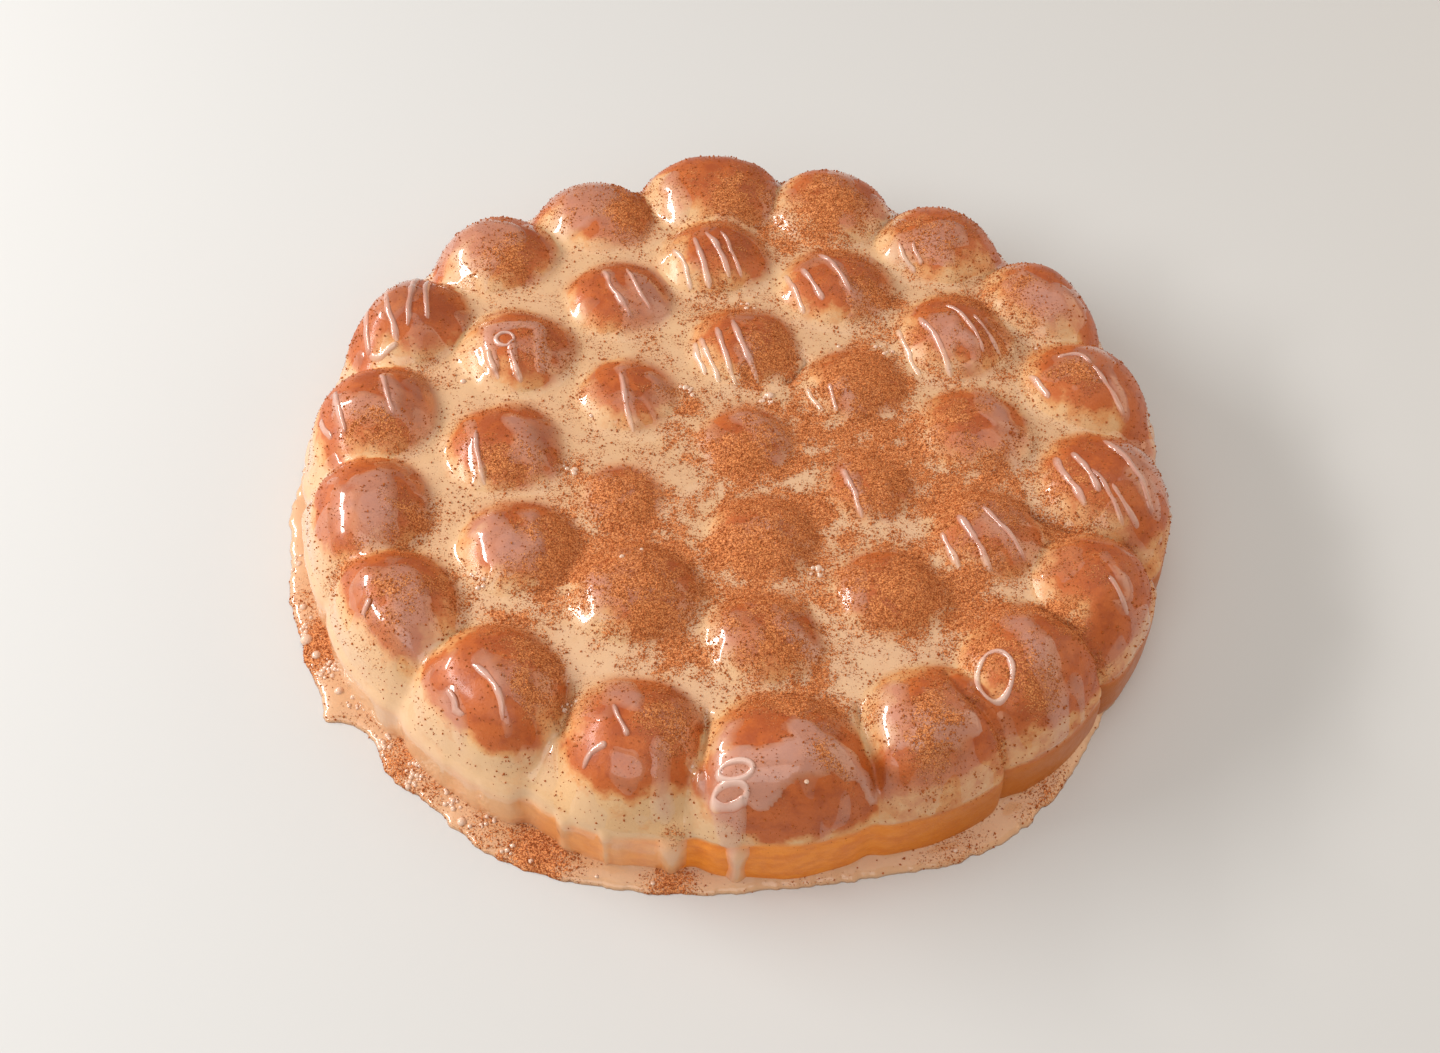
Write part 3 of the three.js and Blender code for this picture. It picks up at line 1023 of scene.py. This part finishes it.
def puddleHeight(angle, radius):
    arc = np.degrees(angle) * degreeSpan
    edge = byAzimuth(angle, puddleEdge)
    edge = edge + 0.7 * softNoise(arc, arc * 0, 4.0, 71)
    edge = edge + 0.3 * softNoise(arc, arc * 0 + 9, 1.5, 72)
    share = np.clip((radius - puddle["inner"]) / (edge - puddle["inner"]), 0, 1)
    lip = np.sqrt(np.maximum(1 - share ** puddle["roundness"], 0))
    rise, spread = puddle["meniscus"]
    wall = sideRadius(angle) - puddle["wallInset"]
    climb = rise * np.exp(-np.maximum(radius - wall, 0) / spread)
    x, y = radius * np.cos(angle), radius * np.sin(angle)
    deep = puddle["depth"] * smoothStep(*puddle["deepFrom"], edge) + 0.25 * softNoise(x, y, 8.0, 73)
    return (np.maximum(deep, puddle["shallow"]) + climb) * lip, edge


def puddleDustAt(angle, radius):
    degrees = np.degrees(angle)
    total = np.zeros_like(degrees)
    for azimuth, width, amount in puddleDust:
        away = (degrees - azimuth + 180) % 360 - 180
        total = np.maximum(total, amount * np.exp(-((away / width) ** 2)))
    return total * smoothStep(*puddle["dustFrom"], radius)


def makePuddle():
    around, across = puddle["around"], puddle["across"]
    turn = np.arange(around) * 2 * math.pi / around - math.pi
    edge = puddleHeight(turn, np.full(around, loaf["radius"]))[1]
    share = np.linspace(0, 1, across) ** puddle["crowding"]
    angle = np.repeat(turn[None], across, 0)
    radius = puddle["inner"] + share[:, None] * (edge - puddle["inner"])[None]
    height = puddleHeight(angle, radius)[0]
    height[-1] = 0
    points = polar(radius, angle, height).reshape(-1, 3)
    rows = np.arange(around * across).reshape(across, around)
    faces = np.concatenate([stripFaces(rows[k], rows[k + 1]) for k in range(across - 1)])
    base = len(points) + np.arange(around)
    points = np.concatenate([points, polar(radius[0], turn, turn * 0)])
    closed = np.concatenate([faces, stripFaces(base, rows[0]), stripFaces(rows[-1], base)])
    depth = np.append(height.ravel(), np.zeros(around)) * mm
    dust = np.append(puddleDustAt(angle, radius).ravel(), np.zeros(around))
    flat = 0.5 + points[:, :2] / (mapMargin * edge.max())
    values = {"depth": depth, "veil": depth * 0, "dust": dust}
    buildPiece("glazePool", points, closed, poolSurface, values, flat[closed])
    return points[: rows.size], faces, dust[: rows.size]


puddlePoints, puddleFaces, puddleDusty = makePuddle()


def surfaceAt(x, y):
    # height of whatever shows straight above a place in plan, and how brown the crust is there, with its
    # painted light and shade
    angle, pivot = np.arctan2(y, x), rays["pivotHeight"]
    side, near, lumps = sideRadius(angle), nearestBuns(x, y), lumpsAt(x, y) - grooveAt(x, y)
    origin = np.stack([x, y, np.full(x.shape, pivot)], 1)
    up = np.tile([0.0, 0.0, 1.0], (len(x), 1))
    crust = crustReachOf(origin, up, side, near, lumps)
    milk = glazeReachOf(origin, up, crust, side, near, lumps, angle)
    return np.maximum(crust, milk) + pivot, bakeAndPaintedLightAt(np.stack([x, y, crust + pivot], 1), near)


drizzle = {
    "height": 0.85,
    "widen": 0.9,
    "sink": 0.22,
    "cover": 0.95,  # how much of its height counts as depth for its colour
    "highlightShares": (0.25, 0.8),  # share of the painted highlight tone in a line and in a loop
    "step": 0.45,
    "across": 9,
    "ringSteps": 56,
    "taper": (7, 9),  # how quickly a line begins and how quickly it runs out
    "tipWidth": 0.35,
    "roundness": 0.8,
    "swell": 0.3,
    "sway": 0.5,
    "outermost": 132.0,  # no line lies farther out than this
    "dust": 0.35,
}

# Drizzled lines: half-width, then x and y of points in plan
stripes = [
    (1.2, -25, 79, -22, 73, -18, 62), (1.3, -18.5, 82, -16, 74, -11.8, 62),
    (1.3, -14, 85, -10, 77, -5.5, 66), (1, -9, 86, -6, 78, -1.5, 67), (1.2, 13, 71, 16, 62, 20, 53),
    (1.2, 18, 71, 21, 65, 26, 56), (1.3, 24, 79, 29, 70, 35, 58), (1.3, -48, 68, -44, 57, -37, 46),
    (0.9, -40, 69, -37, 60, -31, 50), (1.5, -127, 61, -124, 45, -120.5, 27),
    (1.5, -120, 63, -116.5, 45, -111, 29.5), (1.4, -109, 64, -108.5, 50, -108.5, 34),
    (1.2, -105, 61, -104, 50, -102, 38), (1.1, -120.5, 27, -116, 26, -111, 29.5),
    (1, 51, 86, 53, 80, 57, 75), (0.9, 56, 85, 57, 81, 59, 77), (1.2, 50, 48, 52.5, 40, 57, 28),
    (1.4, 57, 50, 61, 41, 67.5, 27), (1.1, 75, 51, 79, 44, 84, 37), (1, 66, 55, 72, 48, 78, 36),
    (1.2, -82, 26, -80, 21, -77, 16.5), (1.2, -75, 26, -72.5, 21, -69.5, 15.5),
    (1.2, -129, 9, -126, 1, -122, -9), (1, -132, 1, -130, -4, -127, -9.5),
    (1.2, -114, 14, -111, 5, -107.5, -4), (1.2, -82, -8, -80, -17, -77, -27),
    (1.3, -16, 38, -14.5, 31, -12, 24), (1.3, -14, 39, -11.5, 31, -7.2, 21),
    (1.3, -9, 42, -6, 31, -1.8, 20), (1.3, -4, 45, -0.5, 34, 5, 21), (1.2, -39, 20, -36.5, 8, -33.5, -2),
    (1.1, 20, 20, 22.5, 15, 26, 10), (1, 27, 19, 28.5, 14, 30.5, 9), (1.2, 31, -14, 34, -23, 38, -33),
    (1.1, 92, 29, 94.5, 24, 97.5, 18), (1, 101, 34, 107, 35, 112, 31), (1.1, 112, 31, 116, 24, 122, 15),
    (1.3, 97, -7, 100, -16, 105, -27), (1.3, 102, -7, 105.5, -14, 110, -23),
    (1.3, 107, -15, 111, -20, 117, -31), (1.4, 113, 0, 119, -10, 127, -25),
    (1.2, 113, -20, 117, -25, 122, -30), (1.2, 61, -38, 63, -44, 67, -51),
    (1.4, 66, -33, 70, -42, 76, -52), (1.1, 73, -30, 79, -38, 86, -48),
    (1.1, -109, -80, -107, -78, -105, -74), (1.2, -73, -96, -70, -98.5, -66, -103, -64, -107, -63, -112),
    (1.1, -80, -102, -77, -106, -76, -112), (1, -33, -107, -31, -112, -28, -118),
    (1.1, -40, -124, -38, -121, -33.5, -119.5), (1.2, 109, -55, 112, -59, 115, -64),
]

# Closed loops of glaze: middle, half-width and half-depth in plan, and half-width of the line
rings = [
    (1.6, -126.6, 4.6, 2.3, 1), (0.4, -131.2, 4.6, 2, 1), (-76.5, 30, 2.9, 2.7, 0.9),
    (74, -91, 4.8, 7, 1.05),
]


def smoothLine(points, step):
    # an even walk along a curve through the points
    ends = np.concatenate([[2 * points[0] - points[1]], points, [2 * points[-1] - points[-2]]])
    walk = []
    for a, b, c, d in zip(ends, ends[1:], ends[2:], ends[3:]):
        t = np.linspace(0, 1, 24, endpoint=False)[:, None]
        bend, twist = 2 * a - 5 * b + 4 * c - d, 3 * b - a - 3 * c + d
        walk.append(0.5 * (2 * b + (c - a) * t + bend * t**2 + twist * t**3))
    walk = np.concatenate(walk + [points[-1:]])
    run = np.append(0, np.hypot(*np.diff(walk, axis=0).T).cumsum())
    places = np.linspace(0, run[-1], max(int(run[-1] / step), 8))
    return np.stack([np.interp(places, run, walk[:, k]) for k in (0, 1)], 1)


def drizzledLines():
    lines = []
    for width, *flat in stripes:
        points = np.reshape(flat, (-1, 2)).astype(float)
        lines.append((width, smoothLine(points, drizzle["step"]), False))
    for x, y, halfX, halfY, width in rings:
        turn = np.linspace(0, 2 * math.pi, drizzle["ringSteps"])
        line = np.stack([x + halfX * np.cos(turn), y + halfY * np.sin(turn)], 1)
        lines.append((width, line, True))
    return lines


def makeStripes():
    lines = drizzledLines()
    points, faces, depth, veil, corners, start = [], [], [], [], [], 0
    across = np.linspace(-1, 1, drizzle["across"])
    for row, (width, line, closed) in enumerate(lines):
        count = len(line)
        ahead = np.gradient(line, axis=0)
        ahead /= np.linalg.norm(ahead, axis=1)[:, None]
        aside = np.stack([-ahead[:, 1], ahead[:, 0]], 1)
        share = np.linspace(0, 1, count)
        swell = 1 + drizzle["swell"] * softNoise(*line.T, 4.0, 82)
        taper, middle = np.ones(count), line
        if not closed:
            begin, end = drizzle["taper"]
            taper = np.sqrt(np.clip(np.minimum(share * begin, (1 - share) * end), 0, 1))
            middle = line + aside * (drizzle["sway"] * softNoise(*line.T, 6.0, 81)[:, None])
            middle = middle * np.minimum(1, drizzle["outermost"] / np.hypot(*middle.T))[:, None]
        tip = drizzle["tipWidth"]
        wide = width * drizzle["widen"] * swell * (tip + (1 - tip) * taper)
        plan = middle[:, None] + aside[:, None] * (across[None, :, None] * wide[:, None, None])
        profile = (1 - across**2)[None] ** drizzle["roundness"]
        ridge = profile * (drizzle["height"] * swell * taper)[:, None]
        points.append(np.concatenate([plan, ridge[..., None]], 2).reshape(-1, 3))
        depth.append(ridge.ravel())
        veil.append(np.full(ridge.size, 1 + drizzle["highlightShares"][int(closed)]))
        grid = start + np.arange(count * len(across)).reshape(count, len(across))
        quad = grid[:-1, :-1], grid[:-1, 1:], grid[1:, 1:], grid[1:, :-1]
        faces.append(np.stack([corner.ravel() for corner in quad], 1))
        u, v = np.meshgrid(share, across * 0.42 + 0.5, indexing="ij")
        corners.append(np.stack([u.ravel(), (row + v.ravel()) / len(lines)], 1))
        start += count * len(across)
    points, faces, depth = np.concatenate(points), np.concatenate(faces), np.concatenate(depth)
    # brown is the browning with its painted light and shade
    shown, brown = surfaceAt(*points[:, :2].T)
    points[:, 2] += shown - drizzle["sink"]
    values = {"depth": depth * mm * drizzle["cover"], "veil": np.concatenate(veil)}
    values.update({"dust": dustAt(*points[:, :2].T) * drizzle["dust"], "bake": brown, "band": depth * 0})
    buildPiece("glazeStripes", points, faces, glazeSurface, values, np.concatenate(corners)[faces])


makeStripes()

# Air bubbles in the glaze: x, y, radius
bubbles = [
    (-127, -66, 1.5), (-124.5, -73, 0.9), (-118, -79, 1.4), (-131, -60, 2), (-92, -107, 0.9),
    (-76, -122, 1.4), (-73.5, -123.5, 0.8), (-20, -139.5, 0.7), (-36, -138, 0.6), (-55, -134, 0.8),
    (66, -125, 0.8), (-134, -48, 1.2), (9, 17, 1.4), (24.5, -52, 1.2), (-18, 19, 1.2), (-50.5, -17.5, 1),
    (-33.5, -56, 0.8), (-28, -52, 0.6), (31, 40, 0.7), (-47, 4, 0.7), (-106, 60, 0.8), (96, 44, 0.7),
    (21, -128.7, 0.7), (-10, -121.5, 0.6), (-89, 18, 1.1),
]

# Froth: x, y, spread, count of small bubbles
froth = [
    (8.4, 15.1, 2.6, 9), (-16.9, 17.9, 2.4, 7), (23.7, -53.8, 2.2, 7), (47.1, 38.6, 2.6, 6),
    (-51.6, -18.4, 2, 6), (1.3, 57.1, 1.8, 4), (-47, -101.8, 2.2, 6), (-74.8, -62.2, 2.6, 7),
    (-139, -30, 3.4, 10), (-133, -56, 3.4, 12), (-124, -72, 3, 10), (-104, -99, 2.6, 8),
    (-92, -110, 2.8, 8), (-62, -131, 2.4, 5), (-141, 8, 2.6, 7), (-121, -70, 3.2, 16), (-112, -84, 3, 14),
    (-102, -96, 3.2, 16), (-92, -106, 3, 16), (-80, -115, 3, 12), (-68, -122, 2.6, 8),
]
foam = {
    # share of that painted highlight tone on a bubble
    "bubbleHighlight": 0.35,
    "depth": 1.6,  # of glaze, for the colour of a bubble
    "onLoaf": 134,  # bubbles nearer the middle than this lie on the loaf, the others on the pool
    "poolInner": 138.2,
    "poolMargin": 1.0,  # how far those stay from the pool's edge
    "radius": (0.35, 0.95),
    "spread": 0.6,
    "rows": 8,
    "around": 18,
    "flatness": 0.8,
    "sink": 0.15,
}


def frothBubbles():
    random = np.random.default_rng(83)
    rows = []
    for x, y, spread, count in froth:
        for _ in range(count):
            offX, offY = random.normal(0, spread * foam["spread"], 2)
            rows.append((x + offX, y + offY, random.uniform(*foam["radius"])))
    return rows


def copiesOf(shapes, faces, centres, radius):
    # a shape at every centre; shapes holds one for all of them or one for each
    points = centres[:, None] + shapes * radius[:, None, None]
    first = np.arange(len(points)) * points.shape[1]
    return points.reshape(-1, 3), (faces[None] + first[:, None, None]).reshape(-1, 3)


def bubbleCap():
    # the upper part of a flattened ball of radius one
    rows, around, flatness = foam["rows"], foam["around"], foam["flatness"]
    tilt = np.repeat(np.linspace(0, math.pi * 0.6, rows)[1:], around)
    turn = np.tile(np.arange(around) * 2 * math.pi / around, rows - 1)
    points = np.concatenate([[[0, 0, flatness]], polar(np.sin(tilt), turn, np.cos(tilt) * flatness)])
    ring = lambda k: 1 + k * around + np.arange(around)
    faces = [np.stack([np.zeros(around, int), ring(0), np.roll(ring(0), -1)], 1)]
    faces += [stripFaces(ring(k), ring(k + 1)) for k in range(rows - 2)]
    return points, np.concatenate(faces)


def makeBubbles():
    x, y, radius = np.array(bubbles + frothBubbles()).T
    away, angle = np.hypot(x, y), np.arctan2(y, x)
    onTop = away < foam["onLoaf"]
    outermost = np.maximum(puddleHeight(angle, away)[1] - foam["poolMargin"], foam["poolInner"])
    kept = np.where(onTop, away, np.clip(away, foam["poolInner"], outermost))
    x, y, away = x * kept / away, y * kept / away, kept
    height = np.zeros(len(x))
    height[onTop] = surfaceAt(x[onTop], y[onTop])[0]
    height[~onTop] = puddleHeight(np.arctan2(y, x)[~onTop], away[~onTop])[0]
    unit, cap = bubbleCap()
    centres = np.stack([x, y, height - radius * foam["sink"]], 1)
    points, faces = copiesOf(unit[None], cap, centres, radius)
    flat = 0.5 + unit[:, :2] * 0.45
    side = math.ceil(math.sqrt(len(x)))
    column, line = np.arange(len(x)) % side, np.arange(len(x)) // side
    corners = (flat[None] + np.stack([column, line], 1)[:, None]) / side
    shades = {"depth": foam["depth"] * mm, "veil": 1 + foam["bubbleHighlight"], "dust": 0.0}
    values = {name: np.full(len(points), value) for name, value in shades.items()}
    buildPiece("glazeBubbles", points, faces, poolSurface, values, corners.reshape(-1, 2)[faces])


makeBubbles()

# Ground cinnamon, as real grains
coarse = {"count": 24000, "radius": (0.24, 0.50), "sparse": 0.03, "sides": 4, "seed": 91}
fine = {"count": 48000, "radius": (0.14, 0.29), "sparse": 0.06, "sides": 3, "seed": 92}
grains = {
    "level": (15, 26),  # heights over which they become as dense as the dust
    "onPool": 0.04,  # share of them that lies on the pool
    "poolFrom": 135,  # radius from which the pool shows
    "poolSparse": 0.03,
    "stretch": (0.6, 1.25),
    "lift": 0.35,  # of the middle above the surface, as a share of the radius
    "mapWidth": 310,
    "patch": 0.0012,  # width of one facet in the bake map
}


def scatter(random, points, faces, normals, density, count):
    corners = points[faces]
    area = np.linalg.norm(np.cross(corners[:, 1] - corners[:, 0], corners[:, 2] - corners[:, 0]), axis=1) / 2
    weight = area * density[faces].mean(1)
    chosen = random.choice(len(faces), count, p=weight / weight.sum())
    a, b = random.random(count), random.random(count)
    flip = a + b > 1
    a[flip], b[flip] = 1 - a[flip], 1 - b[flip]
    share = np.stack([1 - a - b, a, b], 1)[..., None]
    return (corners[chosen] * share).sum(1), (normals[faces[chosen]] * share).sum(1)


def grainShape(sides):
    # a small pointed lump: four points, or two tips and a few points round the middle
    if sides == 3:
        points = np.array([(1, 1, 1), (-1, -1, 1), (-1, 1, -1), (1, -1, -1)]) / 3**0.5
        return points, np.array([(0, 2, 1), (0, 1, 3), (0, 3, 2), (1, 2, 3)])
    turn = np.arange(sides) * 2 * math.pi / sides
    points = np.concatenate([polar(1.0, turn, turn * 0), [[0, 0, 1], [0, 0, -1]]])
    faces = [(k, (k + 1) % sides, sides) for k in range(sides)]
    faces += [((k + 1) % sides, k, sides + 1) for k in range(sides)]
    return points, np.array(faces)


def turnedAtRandom(random, count):
    q = random.normal(size=(4, count))
    w, x, y, z = q / np.linalg.norm(q, axis=0)
    rows = [1 - 2 * (y * y + z * z), 2 * (x * y - z * w), 2 * (x * z + y * w)]
    rows += [2 * (x * y + z * w), 1 - 2 * (x * x + z * z), 2 * (y * z - x * w)]
    rows += [2 * (x * z - y * w), 2 * (y * z + x * w), 1 - 2 * (x * x + y * y)]
    return np.stack(rows, 1).reshape(-1, 3, 3)


def makeCinnamon(name, kind):
    random = np.random.default_rng(kind["seed"])
    density = (shownDust**1.6 + kind["sparse"]) * smoothStep(*grains["level"], shownPoints[:, 2])
    onPool = int(kind["count"] * grains["onPool"])
    onLoaf = kind["count"] - onPool
    places, normals = scatter(random, shownPoints, topFaces, shownNormals, density, onLoaf)
    flatNormals = np.tile([0.0, 0.0, 1.0], (len(puddlePoints), 1))
    inSight = np.hypot(*puddlePoints[:, :2].T) > grains["poolFrom"]
    density = (puddleDusty**1.5 + grains["poolSparse"]) * inSight
    more, moreNormals = scatter(random, puddlePoints, puddleFaces, flatNormals, density, onPool)
    places, normals = np.concatenate([places, more]), np.concatenate([normals, moreNormals])
    shape, faces = grainShape(kind["sides"])
    count = len(places)
    low, high = kind["radius"]
    radius = low + (high - low) * random.random(count) ** 1.8
    stretched = shape[None] * random.uniform(*grains["stretch"], (count, len(shape), 3))
    turned = np.einsum("nij,npj->npi", turnedAtRandom(random, count), stretched)
    centres = places + normals * (radius * grains["lift"])[:, None]
    points, allFaces = copiesOf(turned, faces, centres, radius)
    lone, amount = cinnamonLook["lone"], dustAt(*places[:, :2].T)
    tone = np.repeat(random.random(count) ** 0.8 * (lone + (1 - lone) * amount), len(shape))
    flat = 0.5 + places[:, :2] / grains["mapWidth"]
    patch = np.array([(0, 0), (grains["patch"], 0), (0, grains["patch"])])
    corners = np.repeat(flat[:, None], len(faces) * 3, 1) + np.tile(patch, (len(faces), 1))[None]
    corners, values = corners.reshape(-1, 2), {"tone": tone}
    piece = buildPiece(name, points, allFaces, cinnamonSurface, values, corners)
    piece.data.shade_flat()


makeCinnamon("cinnamonCoarse", coarse)
makeCinnamon("cinnamonFine", fine)

# Floor, light and camera
studio = {
    "floor": (0.64, 0.63, 0.61, 1),
    "floorRoughness": 0.7,
    "floorHalf": 6.0,
    "world": (1.0, 0.97, 0.94, 1),
    "worldStrength": 0.34,
    "lightAim": (0, 0, 0.02),
}
lights = {
    "window": {"place": (-1.1, 0.1, 0.62), "size": (1.2, 0.17), "power": 16.5, "tint": (1, 1, 1)},
    "front": {"place": (-0.3, -1.3, 1.2), "size": (1.6, 1.0), "power": 8.0, "tint": (1, 1, 1)},
    "top": {"place": (0.2, 0.2, 1.5), "size": (1.6, 1.6), "power": 5.5, "tint": (1, 1, 1)},
    "right": {"place": (1.1, 0.3, 0.6), "size": (1.2, 0.8), "power": 4.0, "tint": (1, 0.76, 0.52)},
}


def makeFloor():
    half = studio["floorHalf"]
    corners = [(-half, -half, 0), (half, -half, 0), (half, half, 0), (-half, half, 0)]
    mesh = bpy.data.meshes.new("floor")
    mesh.from_pydata(corners, [], [(0, 1, 2, 3)])
    material, _, shader = newMaterial("paleFloor")
    shader["Base Color"].default_value = studio["floor"]
    shader["Roughness"].default_value = studio["floorRoughness"]
    mesh.materials.append(material)
    floor = addObject("floor", mesh)
    floor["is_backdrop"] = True


def makeLight(name, settings):
    light = bpy.data.lights.new(name, "AREA")
    light.shape = "RECTANGLE"
    light.size, light.size_y = settings["size"]
    light.energy = settings["power"]
    light.color = settings["tint"]
    lamp = addObject(name, light)
    lamp.location = settings["place"]
    aim = Vector(studio["lightAim"]) - lamp.location
    lamp.rotation_euler = aim.to_track_quat("-Z", "Y").to_euler()


def makeWorld():
    world = bpy.data.worlds.new("paleRoom")
    world.use_nodes = True
    background = world.node_tree.nodes["Background"].inputs
    background["Color"].default_value = studio["world"]
    background["Strength"].default_value = studio["worldStrength"]
    bpy.context.scene.world = world


view = {
    "elevation": math.radians(50.77),
    "roll": math.radians(2.35),
    "distance": 637.07 * mm,
    "aim": (-5.2 * mm, -7.2 * mm, 0.0),
    "sensor": 36.0,
    "focal": 48.89,
}


def makeCamera():
    rise, roll = view["elevation"], view["roll"]
    ahead = Vector((0, math.cos(rise), -math.sin(rise)))
    right, up = Vector((1, 0, 0)), Vector((0, math.sin(rise), math.cos(rise)))
    across = right * math.cos(roll) + up * math.sin(roll)
    upward = up * math.cos(roll) - right * math.sin(roll)
    data = bpy.data.cameras.new("camera")
    data.sensor_width, data.lens = view["sensor"], view["focal"]
    data.clip_start, data.clip_end = 0.01, 50
    camera = addObject("camera", data)
    turned = Matrix((across, upward, -ahead)).transposed().to_4x4()
    camera.matrix_world = Matrix.Translation(Vector(view["aim"]) - ahead * view["distance"]) @ turned
    bpy.context.scene.camera = camera


makeFloor()
for name, settings in lights.items():
    makeLight(name, settings)
makeWorld()
makeCamera()
bpy.context.scene.view_settings.view_transform = "Standard"
print("studio set")

boxes = {"cad": cadBox, "visual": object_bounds()}
{name: [list(corner) for corner in box] for name, box in boxes.items()}
